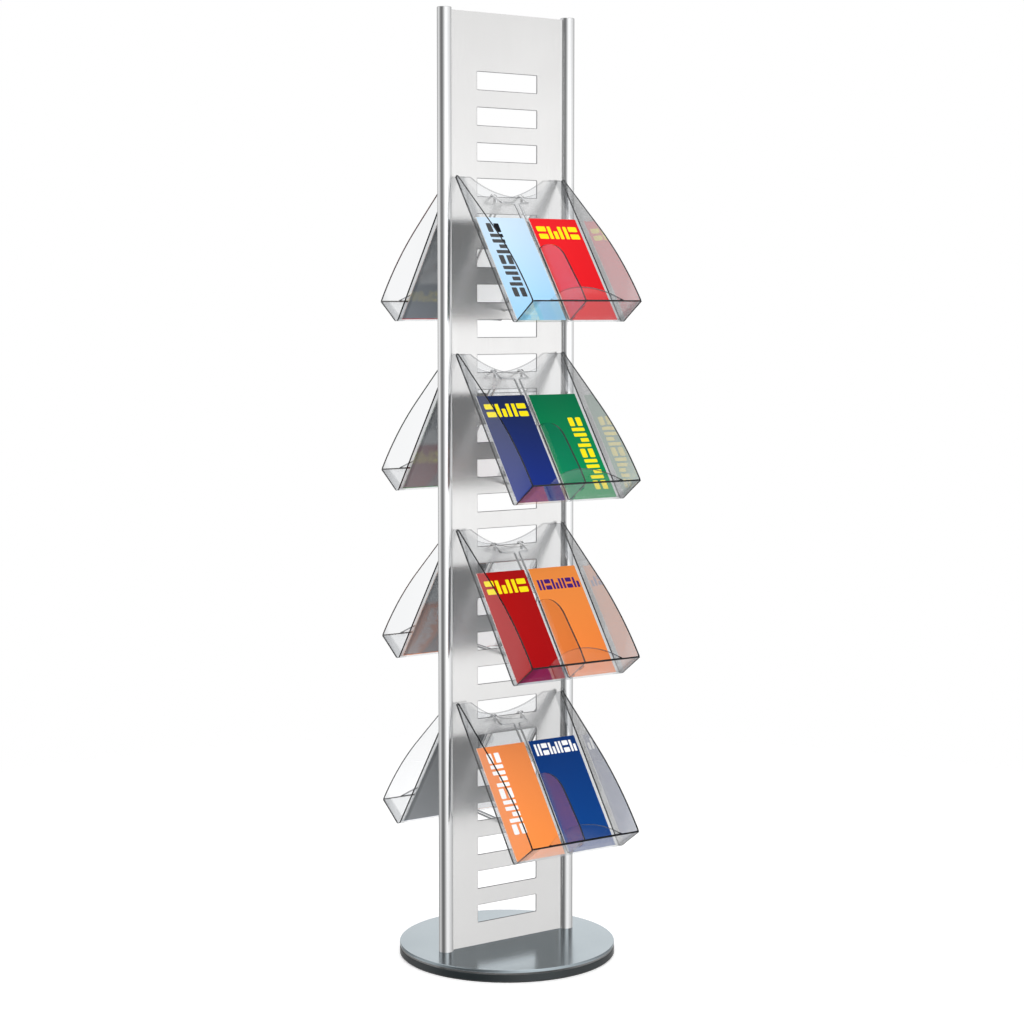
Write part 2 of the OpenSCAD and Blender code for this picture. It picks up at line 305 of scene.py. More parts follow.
def clear_sheet(name, straight, slanted, gloss):
    """Clear acrylic: light goes through, and its faces mirror more at a slant."""
    t = material_tree(name)
    return t.finish(sheet_shader(t, straight, slanted, gloss, 0.5))


def sheet_shader(t, straight, slanted, gloss, blend):
    """Clear acrylic's shader; a higher blend makes a smaller slant count for more."""
    facing = t.add("ShaderNodeLayerWeight")
    t.put(blend, facing.inputs["Blend"])
    slant = facing.outputs["Facing"]
    through = t.add("ShaderNodeBsdfTransparent")
    t.put(t.colours(slant, straight, slanted), through.inputs["Color"])
    scuffs = t.noise(60, 5)
    mirror = t.add("ShaderNodeBsdfGlossy")
    t.put(t.spread(scuffs, 0.02, 0.06), mirror.inputs["Roughness"])
    t.put((0.95, 0.95, 0.95, 1), mirror.inputs["Color"])
    steep = t.calculate("POWER", slant, 2.2)
    return t.mix(t.spread(steep, gloss[0], gloss[1], 0, 1), through, mirror)


def inner_sheet(name, straight, slanted, gloss):
    """The inner face of a side wall, which mirrors the tray's contents when seen from inside."""
    t = material_tree(name)
    seen = sheet_shader(t, straight, slanted, gloss, 0.6)
    plain = t.add("ShaderNodeBsdfTransparent")
    t.put(straight, plain.inputs["Color"])
    behind = t.add("ShaderNodeNewGeometry").outputs["Backfacing"]
    return t.finish(t.mix(behind, seen, plain))


def clear_edge(name, colour, opacity):
    """The polished cut edge of a clear sheet, which gathers light and looks dark; that darkness is
    painted shade in its colour.
    """
    t = material_tree(name)
    saw = t.noise(700, 2)
    return t.finish(t.surface(
        Base_Color=t.colours(t.spread(saw, 0, 1), colour, scaled(colour, 1.6)),
        Roughness=t.spread(saw, 0.12, 0.25),
        Alpha=opacity))


def printed_paper(name, upper, lower, painted_glow=0.0):
    """A coated cover that fades a little downwards; its last argument is painted light, an emission
    that brightens a cover lying in shade.
    """
    t = material_tree(name)
    split = t.add("ShaderNodeSeparateXYZ")
    t.put(t.add("ShaderNodeUVMap").outputs["UV"], split.inputs["Vector"])
    fibre = t.noise(2200, 4)
    fade = t.colours(t.spread(split.outputs["Y"], 0, 1, 0.05, 0.95), lower, upper)
    specks = t.colours(t.spread(fibre, 0, 1), (0.95, 0.95, 0.95, 1), (1, 1, 1, 1))
    cover = t.colours(1, fade, specks, "MULTIPLY")
    return t.finish(t.surface(
        Base_Color=cover,
        Roughness=t.spread(fibre, 0.38, 0.52),
        Specular_IOR_Level=0.08,
        # Painted light: the cover glows in its own colour, as strongly as its last argument says
        Emission_Color=cover,
        Emission_Strength=painted_glow,
        Normal=t.bump(fibre, 0.12, 0.00008)))


def page_edges(name):
    """The cut edges of folded paper: fine dark lines between white leaves."""
    t = material_tree(name)
    leaves = t.noise(2600, 2, (0.15, 1, 0.15))
    return t.finish(t.surface(
        Base_Color=t.colours(t.spread(leaves, 0, 1), linear(196, 195, 190), linear(246, 246, 243)),
        Roughness=t.spread(leaves, 0.6, 0.8),
        Normal=t.bump(leaves, 0.3, 0.0001)))


POST_METAL = brushed_metal(
    "post_metal", (0.90, 0.905, 0.91, 1), (0.86, 0.865, 0.875, 1), (0.10, 0.16), (1, 1, 0.02))
PANEL_METAL = brushed_metal(
    "panel_metal", (0.91, 0.905, 0.90, 1), (0.86, 0.855, 0.85, 1), (0.19, 0.27), (1, 1, 0.015),
    0.000006, metallic=0.9)
# Dark metal for the slots' rounded rims: painted shade that outlines each slot
SLOT_EDGE = brushed_metal(
    "slot_edge_painted_shade", (0.34, 0.34, 0.35, 1), (0.24, 0.24, 0.25, 1), (0.25, 0.4), (1, 1, 1))
TOP_METAL = brushed_metal(
    "turntable_metal", (0.49, 0.56, 0.60, 1), (0.42, 0.49, 0.53, 1), (0.14, 0.22), (0.02, 1, 1))
STEEL = brushed_metal(
    "bright_steel", (0.62, 0.62, 0.63, 1), (0.5, 0.5, 0.52, 1), (0.2, 0.35), (1, 1, 1))
ZINC = brushed_metal(
    "zinc_steel", (0.55, 0.56, 0.58, 1), (0.42, 0.43, 0.45, 1), (0.35, 0.5), (1, 1, 1))
BRASS = brushed_metal(
    "bush_brass", (0.80, 0.60, 0.28, 1), (0.70, 0.50, 0.22, 1), (0.25, 0.4), (1, 1, 1))
CHROME = brushed_metal(
    "hanger_chrome", (0.98, 0.98, 0.985, 1), (0.93, 0.935, 0.94, 1), (0.05, 0.1), (1, 1, 1),
    0.000004)
BASE_PAINT = painted_metal("base_paint", linear(26, 36, 39), linear(19, 27, 30), (0.3, 0.45))
RUBBER = rubber("mat_rubber")
CAGE = plain_plastic("cage_plastic", linear(222, 214, 190), linear(206, 198, 172))
CLEAR = clear_sheet("tray_clear", (0.996, 0.997, 0.998, 1), (0.90, 0.91, 0.925, 1), (0.03, 0.45))
BENT = clear_sheet("tray_bent_sheet", (0.97, 0.973, 0.976, 1), (0.95, 0.955, 0.96, 1), (0.03, 0.5))
# A darker tint, painted shade, for the bent sheet's strips beside the side walls and for its cut
# sides
CORNER = clear_sheet("tray_corner_painted_shade", (0.87, 0.875, 0.88, 1), (0.7, 0.71, 0.72, 1), (0.03, 0.4))
INNER = inner_sheet("tray_inner", (0.985, 0.986, 0.988, 1), (0.0, 0.0, 0.0, 1), (0.08, 0.85))
# Cut edges of the trays, their dark colours painted shade; the fainter ones go on the lip's arch
# and the scoop's top edge
EDGE = clear_edge("tray_edge", linear(16, 18, 21), 1.0)
SOFT_EDGE = clear_edge("tray_soft_edge", linear(54, 58, 63), 0.74)
FAINT_EDGE = clear_edge("tray_top_edge", linear(60, 64, 70), 0.38)
DIVIDER_CLEAR = clear_sheet(
    "divider_clear", (0.985, 0.985, 0.99, 1), (0.90, 0.91, 0.94, 1), (0.03, 0.3))
# The divider's cut edge, dark with painted shade
DIVIDER_EDGE = clear_edge("divider_edge", linear(18, 20, 25), 1.0)
PAGES = page_edges("page_edges")
# The white back cover glows: painted light that brightens the backs of the rear left stacks lying
# in the trays' shade
WHITE_BACK_PAINTED_GLOW = printed_paper("back_cover_white_painted_glow", linear(240, 240, 240), linear(232, 232, 233), 0.45)
# Painted shade: grey back covers stand for white backs lying in shade, darker at the top than at
# the foot
GREY_BACK_PAINTED_SHADE = printed_paper("back_cover_painted_shade", linear(92, 96, 99), linear(138, 142, 146))

# Finishes of the nodes that keep their CAD mesh, besides the clamps
CAD_FINISHES = {
    "base_mat": RUBBER, "base_plate": BASE_PAINT, "bearing_lower_race": STEEL,
    "bearing_balls": STEEL, "bearing_cage": CAGE, "pivot_bush": BRASS,
    "turntable_plate": TOP_METAL, "bearing_upper_race": STEEL, "pivot_bolt": TOP_METAL,
    "pivot_washer": ZINC, "pivot_nut": ZINC, "post_plug_left": ZINC, "post_plug_right": ZINC,
    "post_cap_left": POST_METAL, "post_cap_right": POST_METAL, "post_screws": ZINC,
}


# ---------------------------------------------------------------- mesh helpers


def new_object(name, mesh_builder, materials, smooth_below=35):
    """An object whose mesh mesh_builder(bm) fills, with its materials in order.

    Edges that bend by more than smooth_below degrees stay crisp.
    """
    bm = bmesh.new()
    mesh_builder(bm)
    bmesh.ops.recalc_face_normals(bm, faces=bm.faces)
    mesh = bpy.data.meshes.new(name)
    bm.to_mesh(mesh)
    bm.free()
    for m in materials:
        mesh.materials.append(m)
    obj = bpy.data.objects.new(name, mesh)
    bpy.context.scene.collection.objects.link(obj)
    smooth(mesh, smooth_below)
    return obj


def smooth(mesh, degrees):
    """Smooth shading, with edges sharper than the angle kept crisp."""
    mesh.shade_smooth()
    mesh.set_sharp_from_angle(angle=math.radians(degrees))


def face(bm, slot, *corners):
    bm.faces.new(corners).material_index = slot


def prism(bm, outline, place, thickness, caps=(FACE, FACE), rim=RIM, bevel=0.0):
    """Extrudes an outline. place(a, b, c) gives the point for outline (a, b) at depth c.

    caps are the material slots of the two ends, and rim is the slot of what joins them.
    """
    low = [bm.verts.new(place(a, b, 0.0)) for a, b in outline]
    high = [bm.verts.new(place(a, b, thickness)) for a, b in outline]
    ends = [bm.faces.new(low[::-1]), bm.faces.new(high)]
    for end, cap in zip(ends, caps):
        end.material_index = cap
    for i in range(len(outline)):
        j = (i + 1) % len(outline)
        face(bm, rim, low[i], low[j], high[j], high[i])
    if bevel:
        edges = {e for end in ends for e in end.edges}
        bmesh.ops.bevel(bm, geom=list(edges), offset=bevel, segments=2, affect="EDGES",
                        profile=0.5, material=rim)


def arc(centre, r, start, end, count):
    """Points along an arc, angles in degrees."""
    return [
        (centre[0] + r * math.cos(math.radians(start + (end - start) * i / count)),
         centre[1] + r * math.sin(math.radians(start + (end - start) * i / count)))
        for i in range(count + 1)]


# ---------------------------------------------------------------- tray frames


def tray_matrix(side, k):
    """The tray's own frame: X across, Z up along its back plate, -Y into the tray."""
    low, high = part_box(f"front_tray_{k}")
    corner = SHEET * (math.sin(TILT) + math.cos(TILT) - 1)
    origin = Vector((0, high[1] - TRAY_L * math.sin(TILT), low[2] - corner))
    front = Matrix.Translation(origin) @ Matrix.Rotation(-TILT, 4, "X")
    return turned(side) @ front


def turned(side):
    return Matrix.Rotation(math.pi if side == "rear" else 0, 4, "Z")


def slot_matrix(side, k):
    """The lower edge of the slot that tier k hangs from, in the panel's middle plane."""
    tray = tray_matrix("front", k)
    edge_z = (tray @ Vector((0, 0, TRAY_L))).z - TRAY_TOP
    return turned(side) @ Matrix.Translation((0, 0, edge_z))


# ---------------------------------------------------------------- tray shell


def scoop_height(x):
    """Height of the back plate's top edge at x."""
    r = (SCOOP_HALF ** 2 + SCOOP_H ** 2) / (2 * SCOOP_H)
    if abs(x) >= SCOOP_HALF:
        return TRAY_L
    return TRAY_L - SCOOP_H + r - math.sqrt(r * r - x * x)


def bent_path(x):
    """Rows of (depth, height, normal depth, normal height) of the bent sheet's outer face at x.

    They run from the top edge down the back plate, round the fold and along the floor. Each of
    the divider's tab slots lies between two floor rows.
    """
    outer_r = FOLD_R + SHEET
    top = scoop_height(x)
    rows = [(0.0, outer_r + (top - outer_r) * (1 - i / BACK_ROWS), -1.0, 0.0)
            for i in range(BACK_ROWS)]
    for i in range(FOLD_STEPS + 1):
        a = math.pi + i * math.pi / (2 * FOLD_STEPS)
        rows.append((outer_r + outer_r * math.cos(a), outer_r + outer_r * math.sin(a),
                     math.cos(a), math.sin(a)))
    slot_ends = [y + s * (TAB_HALF + TAB_PLAY) for y in TAB_PLACES for s in (-1, 1)]
    return rows + [(d, 0.0, 0.0, -1.0) for d in slot_ends + [TRAY_DEPTH]]


def back_and_floor(bm):
    """One sheet: back plate, round fold and floor with its tab slots, between the two sides."""
    half = TRAY_W / 2 - SHEET - SIDE_PLAY
    slot_x = DIVIDER_T / 2 + TAB_PLAY
    columns = [SCOOP_HALF * math.sin(math.radians(a)) for a in range(-90, 91, 6) if a]
    columns += [s * x for s in (-1, 1) for x in (slot_x, (half + SCOOP_HALF) / 2, half)]
    columns.sort()
    outer, inner = [], []
    for x in columns:
        path = bent_path(x)
        outer.append([bm.verts.new((x, -d, h)) for d, h, _, _ in path])
        inner.append([bm.verts.new((x, -(d - SHEET * nd), h - SHEET * nh))
                      for d, h, nd, nh in path])
    last_column = len(columns) - 1
    last_row = len(outer[0]) - 1
    slots = [(columns.index(-slot_x), j) for j in (last_row - 4, last_row - 2)]
    for i in range(last_column):
        # The strips beside the side walls take the darker tint: painted shade
        tone = CORNER_FACE if i in (0, last_column - 1) else BENT_FACE
        for j in range(last_row):
            if (i, j) in slots:
                continue
            face(bm, tone, outer[i][j], outer[i + 1][j], outer[i + 1][j + 1], outer[i][j + 1])
            face(bm, tone, inner[i][j], inner[i][j + 1], inner[i + 1][j + 1], inner[i + 1][j])
        for j, rim in ((0, TOP_RIM), (last_row, RIM)):
            face(bm, rim, outer[i][j], outer[i + 1][j], inner[i + 1][j], inner[i][j])
    for i in (0, last_column):
        for j in range(last_row):
            face(bm, CORNER_FACE, outer[i][j], outer[i][j + 1], inner[i][j + 1], inner[i][j])
    for i, j in slots:
        ring = ((i, j), (i + 1, j), (i + 1, j + 1), (i, j + 1))
        for (a, b), (c, d) in zip(ring, ring[1:] + ring[:1]):
            face(bm, CORNER_FACE, outer[a][b], outer[c][d], inner[c][d], inner[a][b])


def side_outline():
    """[depth, height] outline of a side wall."""
    outer_r = FOLD_R + SHEET
    centre = (TRAY_DEPTH - SIDE_ARC_R, SIDE_ARC_FROM)
    points = arc((outer_r, outer_r), outer_r, 180, 270, 10)
    points += arc((TRAY_DEPTH - SIDE_FOOT_R, SIDE_FOOT_R), SIDE_FOOT_R, 270, 360, 3)
    points += arc(centre, SIDE_ARC_R, 0, math.degrees(SIDE_ARC_ANGLE), 24)
    last_d, last_h = points[-1]
    top_d = last_d - (TRAY_L - last_h) * math.tan(SIDE_ARC_ANGLE)
    points += arc((top_d - SIDE_TOP_R, TRAY_L - SIDE_TOP_R), SIDE_TOP_R, 15, 90, 4)
    points.append((0.0, TRAY_L))
    return points


def tray_shell(bm):
    """The clear shell: bent sheet, two side walls and the front lip with its arch."""
    back_and_floor(bm)
    outline = side_outline()
    for low_x, caps in ((-TRAY_W / 2, (FACE, INNER_FACE)),
                        (TRAY_W / 2 - SHEET, (INNER_FACE, FACE))):
        prism(bm, outline, lambda d, h, t, low_x=low_x: (low_x + t, -d, h), SHEET, caps=caps,
              bevel=SIDE_BEVEL)
    lip_r = (LIP_HALF ** 2 + LIP_H ** 2) / (2 * LIP_H)
    sweep = math.degrees(math.asin(LIP_HALF / lip_r))
    lip = arc((0, LIP_H - lip_r), lip_r, 90 - sweep, 90 + sweep, 32)
    lip = [(x, max(z, SHEET)) for x, z in lip]
    prism(bm, lip, lambda x, z, t: (x, -TRAY_DEPTH + t, z), SHEET, bevel=LIP_BEVEL)
    for f in bm.faces:
        at = f.calc_center_median()
        on_arch = abs(at.x) < LIP_HALF and at.z > 2 * SHEET and at.y < -TRAY_DEPTH / 2
        if f.material_index == RIM and on_arch:
            f.material_index = LIP_RIM


def divider_outline():
    """[depth, height] outline: a straight foot, and one large curve up to the back plate."""
    foot = SHEET + REST_GAP
    points = arc((foot + FOLD_R, foot + FOLD_R), FOLD_R, 180, 270, 8)
    points += [(DIVIDER_FRONT - DIVIDER_CORNER, foot), (DIVIDER_FRONT, foot + DIVIDER_CORNER),
               (DIVIDER_FRONT, DIVIDER_STEP)]
    end = math.degrees(math.acos((foot - NOSE[0]) / NOSE_R))
    return points + arc(NOSE, NOSE_R, LEAN, end, 32)


def divider_plate(bm):
    """The plate, and the two tabs below it that sit in the tray floor's slots."""
    def upright(d, h, t):
        return (t - DIVIDER_T / 2, -d, h)

    prism(bm, divider_outline(), upright, DIVIDER_T, bevel=DIVIDER_BEVEL)
    low = SHEET + REST_GAP - TAB_DROP
    high = SHEET + REST_GAP + DIVIDER_BEVEL
    for y in TAB_PLACES:
        tab = [(y - TAB_HALF, low), (y + TAB_HALF, low), (y + TAB_HALF, high), (y - TAB_HALF, high)]
        prism(bm, tab, upright, DIVIDER_T, rim=FACE)


# ---------------------------------------------------------------- leaflets


# A cover's colour at its top and at its foot
PRINTS = {
    "pale_blue": (linear(203, 227, 246), linear(150, 204, 240)),
    "red": (linear(234, 28, 36), linear(222, 22, 32)),
    "navy": (linear(28, 42, 84), linear(24, 46, 128)),
    "green": (linear(2, 114, 72), linear(2, 144, 84)),
    "dark_red": (linear(178, 14, 14), linear(158, 8, 14)),
    "orange": (linear(240, 142, 66), linear(232, 126, 58)),
    "tan_orange": (linear(242, 142, 80), linear(242, 140, 68)),
    "blue": (linear(10, 54, 120), linear(12, 66, 136)),
}
INKS = {
    "black": linear(18, 20, 26), "yellow": linear(252, 232, 24), "white": linear(252, 252, 252),
    "violet": linear(70, 30, 116),
}
COVERS = {name: printed_paper("cover_" + name, *pair) for name, pair in PRINTS.items()}
INK_MATERIALS = {name: printed_paper("ink_" + name, c, scaled(c, 0.94))
                 for name, c in INKS.items()}

# Where a heading lies on its cover: left, right, and heights above the leaflet's foot
ACROSS_TALL = (0.008, 0.093, 0.168, 0.194)
ACROSS_LOW = (0.008, 0.095, 0.168, 0.188)
ACROSS_HIGH = (0.008, 0.095, 0.181, 0.203)
UP_LEFT = (0.014, 0.040, 0.048, 0.198)
UP_RIGHT = (0.062, 0.089, 0.018, 0.162)

# By tier and side of the tray: cover, ink, where the heading lies, whether it runs up the side,
# and its number of blocks that stand for letters
DESIGNS = {
    (1, "left"): ("pale_blue", "black", UP_LEFT, True, 7),
    (1, "right"): ("red", "yellow", ACROSS_TALL, False, 4),
    (2, "left"): ("navy", "yellow", ACROSS_TALL, False, 4),
    (2, "right"): ("green", "yellow", UP_RIGHT, True, 7),
    (3, "left"): ("dark_red", "yellow", ACROSS_TALL, False, 4),
    (3, "right"): ("orange", "violet", ACROSS_LOW, False, 6),
    (4, "left"): ("tan_orange", "white", UP_LEFT, True, 7),
    (4, "right"): ("blue", "white", ACROSS_HIGH, False, 6),
}

# Plain blocks as shares of a letter's box: left, low, right, high
BLOCKS = (
    ((0, 0, 0.38, 1), (0.62, 0, 1, 1)),
    ((0, 0, 1, 0.4), (0, 0.6, 1, 1)),
    ((0, 0, 0.38, 1), (0.58, 0, 1, 0.62)),
)
# A block's corner radius as a share of its short side, and the blank between two letters as a
# share of their height
BLOCK_ROUND = 0.18
BLANK = 0.132


def rounded_bar(x0, z0, x1, z1):
    r = BLOCK_ROUND * min(x1 - x0, z1 - z0)
    return (arc((x1 - r, z0 + r), r, -90, 0, 4) + arc((x1 - r, z1 - r), r, 0, 90, 4)
            + arc((x0 + r, z1 - r), r, 90, 180, 4) + arc((x0 + r, z0 + r), r, 180, 270, 4))


def heading_bars(x0, z0, area, upright, letters):
    """Outlines of plain blocks where a cover's heading goes; they spell nothing."""
    left, right, low, high = area
    length = high - low if upright else right - left
    height = right - left if upright else high - low
    blank = height * BLANK
    step = (length + blank) / letters
    wide = step - blank
    outlines = []
    for i in range(letters):
        for a0, b0, a1, b1 in BLOCKS[(i + letters) % len(BLOCKS)]:
            start, end = i * step + a0 * wide, i * step + a1 * wide
            bottom, top = b0 * height, b1 * height
            if upright:
                outlines.append(rounded_bar(x0 + right - top, z0 + low + start,
                                            x0 + right - bottom, z0 + low + end))
            else:
                outlines.append(rounded_bar(x0 + left + start, z0 + low + bottom,
                                            x0 + left + end, z0 + low + top))
    return outlines


def leaflet_stack(bm, uv, x0, design, rng):
    """Folded leaflets, slightly out of line, with a printed front cover."""
    pitch = STACK / LEAVES
    leaf_t = pitch * LEAF_SHARE
    floor = SHEET + REST_GAP
    _, _, area, upright, letters = design
    for i in range(LEAVES):
        depth = floor + i * pitch
        dx = rng.uniform(-LEAF_SHIFT, LEAF_SHIFT) if i < LEAVES - 1 else 0.0
        dz = rng.uniform(0.0, LEAF_RISE) if i < LEAVES - 1 else 0.0
        rise = FOLD_R - math.sqrt(FOLD_R ** 2 - (FOLD_R - REST_GAP - i * pitch) ** 2)
        x_low, x_high = x0 + dx, x0 + LEAF_W + dx
        z_low, z_high = floor + rise + dz, floor + LEAF_H + dz
        outline = [(x_low, z_low), (x_high, z_low), (x_high, z_high), (x_low, z_high)]
        before = set(bm.faces)
        prism(bm, outline, lambda x, z, t, depth=depth: (x, -depth - t, z), leaf_t,
              bevel=LEAF_BEVEL)
        for f in set(bm.faces) - before:
            if i == 0 and abs(f.normal.y) > 0.9 and f.calc_center_median().y > -depth - leaf_t / 2:
                f.material_index = BACK_FACE
    front = floor + (LEAVES - 1) * pitch + leaf_t
    for bar in heading_bars(x0, floor, area, upright, letters):
        prism(bm, bar, lambda x, z, t: (x, -front - t + INK_SUNK, z), INK_T,
              caps=(INK_FACE, INK_FACE), rim=INK_FACE)
    for f in bm.faces:
        for loop in f.loops:
            x, _, z = loop.vert.co
            loop[uv].uv = ((x - x0) / LEAF_W, (z - floor) / LEAF_H)


def leaflets_object(name, k, hand, back_cover, seed):
    design = DESIGNS[(k, hand)]
    x0 = LEAF_LEFT if hand == "left" else LEAF_RIGHT

    def build(bm):
        uv = bm.loops.layers.uv.new("cover")
        leaflet_stack(bm, uv, x0, design, random.Random(seed))

    return new_object(name, build, [COVERS[design[0]], PAGES, INK_MATERIALS[design[1]],
                                    back_cover], smooth_below=30)


# ---------------------------------------------------------------- hanger wire


def tray_point(x, back, up):
    """A point of a tray's own frame, seen from its slot's lower edge. All tiers are alike."""
    return (slot_matrix("front", 1).inverted() @ tray_matrix("front", 1)) @ Vector((x, back, up))


def rounded_path(points, r, steps=6):
    """The points joined by straight runs, each corner turned into a bend."""
    path = [points[0]]
    for a, p, b in zip(points, points[1:], points[2:]):
        start = p + (a - p).normalized() * min(r, (a - p).length * BEND_SHARE)
        end = p + (b - p).normalized() * min(r, (b - p).length * BEND_SHARE)
        for i in range(steps + 1):
            s = i / steps
            path.append((1 - s) ** 2 * start + 2 * s * (1 - s) * p + s * s * end)
    path.append(points[-1])
    return path


def half_wire(x, leg):
    """Half of the wire: its hook at x, its leg, and the foot as far as the middle."""
    tip = Vector((x, HOOK_R, HOOK_Z - HOOK_DROP))
    hook = [Vector((x, y, z)) for y, z in arc((0, HOOK_Z), HOOK_R, 0, 90 + HOOK_SLOPE, 14)]
    corners = [
        hook[-1], Vector((x, BAR_Y, BAR_Z)), Vector((leg, BAR_Y, BAR_Z)),
        tray_point(leg, CLAMP_BACK, CLAMP_HIGH), tray_point(leg, CLAMP_BACK, CLAMP_LOW),
        Vector((leg, FOOT_Y, FOOT_Z)), Vector((0, FOOT_Y, FOOT_Z))]
    return [tip] + hook[:-1] + rounded_path(corners, WIRE_BEND)


def tube(bm, path, r, sides=16):
    """A round tube along a path, with frames carried along so that it doesn't twist."""
    across = Vector((1, 0, 0))
    rings = []
    for i, p in enumerate(path):
        t = (path[min(i + 1, len(path) - 1)] - path[max(i - 1, 0)]).normalized()
        across = (across - across.dot(t) * t).normalized()
        up = t.cross(across)
        rings.append([
            bm.verts.new(p + r * (math.cos(2 * math.pi * s / sides) * across
                                  + math.sin(2 * math.pi * s / sides) * up))
            for s in range(sides)])
    for a, b in zip(rings, rings[1:]):
        for s in range(sides):
            bm.faces.new((a[s], a[(s + 1) % sides], b[(s + 1) % sides], b[s]))
    bm.faces.new(rings[0][::-1])
    bm.faces.new(rings[-1])


def hanger_wire(bm):
    left = half_wire(HOOK_X[0], -LEG_X)
    right = half_wire(HOOK_X[1], LEG_X)
    path = left[:-1] + right[::-1]
    clean = [path[0]]
    for p in path[1:]:
        if (p - clean[-1]).length > SAME_POINT:
            clean.append(p)
    tube(bm, clean, WIRE_R)


# ---------------------------------------------------------------- posts and panel


def post_tube(bm, x, side):
    """A slotted tube: most of a ring in section, open where the panel's edge goes in."""
    low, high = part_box("post_right")
    r = (high[1] - low[1]) / 2
    bore = r - POST_WALL
    start = math.degrees(math.asin(GROOVE_HALF / r))
    inner_start = math.degrees(math.asin(GROOVE_HALF / bore))
    facing = 180 if side > 0 else 0
    outline = arc((x, 0), r, facing + start, facing + 360 - start, 96)
    outline += arc((x, 0), bore, facing + 360 - inner_start, facing + inner_start, 72)
    rings = [[bm.verts.new((a, b, z)) for a, b in outline] for z in (low[2], high[2])]
    count = len(outline)
    for i in range(count):
        j = (i + 1) % count
        bm.faces.new((rings[0][i], rings[0][j], rings[1][j], rings[1][i]))
    bm.faces.new(rings[0][::-1])
    bm.faces.new(rings[1])


def slot_loop(grow):
    """Corner arcs of a slot's outline, grown outwards, as four lists round its middle."""
    r = SLOT_CORNER + grow
    x, z = SLOT_W / 2 - SLOT_CORNER, SLOT_H / 2 - SLOT_CORNER
    return [arc((sx * x, sz * z), r, start, start + 90, 4)
            for sx, sz, start in ((1, -1, -90), (1, 1, 0), (-1, 1, 90), (-1, -1, 180))]


def panel_sheet(bm):
    """The slotted sheet, every slot's edge rounded over as punching and polishing leave it."""
    low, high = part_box("panel")
    half_w, half_t = high[0], high[1]
    for i in range(SLOTS):
        middle = low[2] + SLOT_FOOT + SLOT_H / 2 + SLOT_PITCH * i
        bottom = low[2] if i == 0 else middle - SLOT_PITCH / 2
        top = high[2] if i == SLOTS - 1 else middle + SLOT_PITCH / 2
        corners = [(half_w, bottom), (half_w, top), (-half_w, top), (-half_w, bottom)]
        rings = []
        for step in range(SLOT_EDGE_STEPS + 1):
            a = math.radians(-90 + 180 * step / SLOT_EDGE_STEPS)
            y, grow = half_t * math.sin(a), half_t * (1 - math.cos(a))
            rings.append([[bm.verts.new((x, y, middle + z)) for x, z in quarter]
                          for quarter in slot_loop(grow)])
        outer = [[bm.verts.new((x, y, z)) for x, z in corners] for y in (-half_t, half_t)]
        # A corner arc has five points, and its middle one meets both neighbouring faces
        for ring, border in ((rings[0], outer[0]), (rings[-1], outer[1])):
            for c in range(4):
                d = (c + 1) % 4
                face(bm, FACE, border[c], border[d], *ring[d][2::-1], *ring[c][:1:-1])
        loops = [sum(ring, []) for ring in rings]
        for near, far in zip(loops, loops[1:]):
            for c in range(len(near)):
                d = (c + 1) % len(near)
                face(bm, RIM, near[c], near[d], far[d], far[c])
        sides = [0, 2] + ([3] if i == 0 else []) + ([1] if i == SLOTS - 1 else [])
        for c in sides:
            d = (c + 1) % 4
            face(bm, RIM, outer[0][c], outer[0][d], outer[1][d], outer[1][c])
    bmesh.ops.remove_doubles(bm, verts=bm.verts, dist=0.000001)


# ---------------------------------------------------------------- the pieces


def place(name, source, matrix, body, material_slot, node):
    """A copy of a shared mesh at matrix, riding on a body in place of its CAD node."""
    piece = bpy.data.objects.new(name, source.data)
    bpy.context.scene.collection.objects.link(piece)
    piece.matrix_world = matrix
    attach(piece, body)
    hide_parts(node)
    return piece


def build_cad_finishes():
    """Materials for the nodes that keep their CAD mesh; reflections show only the posts' parts."""
    for name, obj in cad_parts.items():
        finish = CLEAR if "_clamps_" in name else CAD_FINISHES.get(name)
        if finish:
            obj.data.materials.clear()
            obj.data.materials.append(finish)
            obj.visible_glossy = name.startswith("post")


def build_trays():
    shell = new_object("tray_source", tray_shell,
                       [CLEAR, EDGE, INNER, SOFT_EDGE, BENT, CORNER, FAINT_EDGE])
    plate = new_object("divider_source", divider_plate, [DIVIDER_CLEAR, DIVIDER_EDGE])
    wire = new_object("hanger_source", hanger_wire, [CHROME], smooth_below=60)
    sources = [shell, plate, wire]
    for side in SIDES:
        for k in TIERS:
            unit = f"{side}_unit_{k}"
            here = tray_matrix(side, k)
            tray = place(f"{side}_tray_shell_{k}", shell, here, unit, "tray_clear",
                         f"{side}_tray_{k}")
            divider = place(f"{side}_divider_plate_{k}", plate, here, f"{side}_divider_unit_{k}",
                            "divider_clear", f"{side}_divider_{k}")
            # The clear sheets cast no shadow and aren't met by bounced light
            for sheet in (tray, divider):
                sheet.visible_shadow = False
                sheet.visible_diffuse = False
            place(f"{side}_hanger_wire_{k}", wire, slot_matrix(side, k), unit, "hanger_wire",
                  f"{side}_hanger_{k}")
            for h, hand in enumerate(("left", "right")):
                seed = 100 * SIDES.index(side) + 10 * k + h
                # Back covers: the rear left stacks' white ones glow, painted light; all the others
                # are grey, painted shade
                back = WHITE_BACK_PAINTED_GLOW if (side, hand) == ("rear", "left") else GREY_BACK_PAINTED_SHADE
                stack = leaflets_object(f"{side}_stack_{k}_{hand}", k, hand, back, seed)
                stack.matrix_world = here
                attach(stack, unit)
                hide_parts(f"{side}_leaflets_{k}")
    for s in sources:
        bpy.data.objects.remove(s)


def build_posts():
    low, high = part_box("post_right")
    x = (low[0] + high[0]) / 2
    for side, name in ((-1, "post_left"), (1, "post_right")):
        piece = new_object(name + "_tube", lambda bm, s=side: post_tube(bm, s * x, s),
                           [POST_METAL])
        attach(piece, "column")
        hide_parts(name)


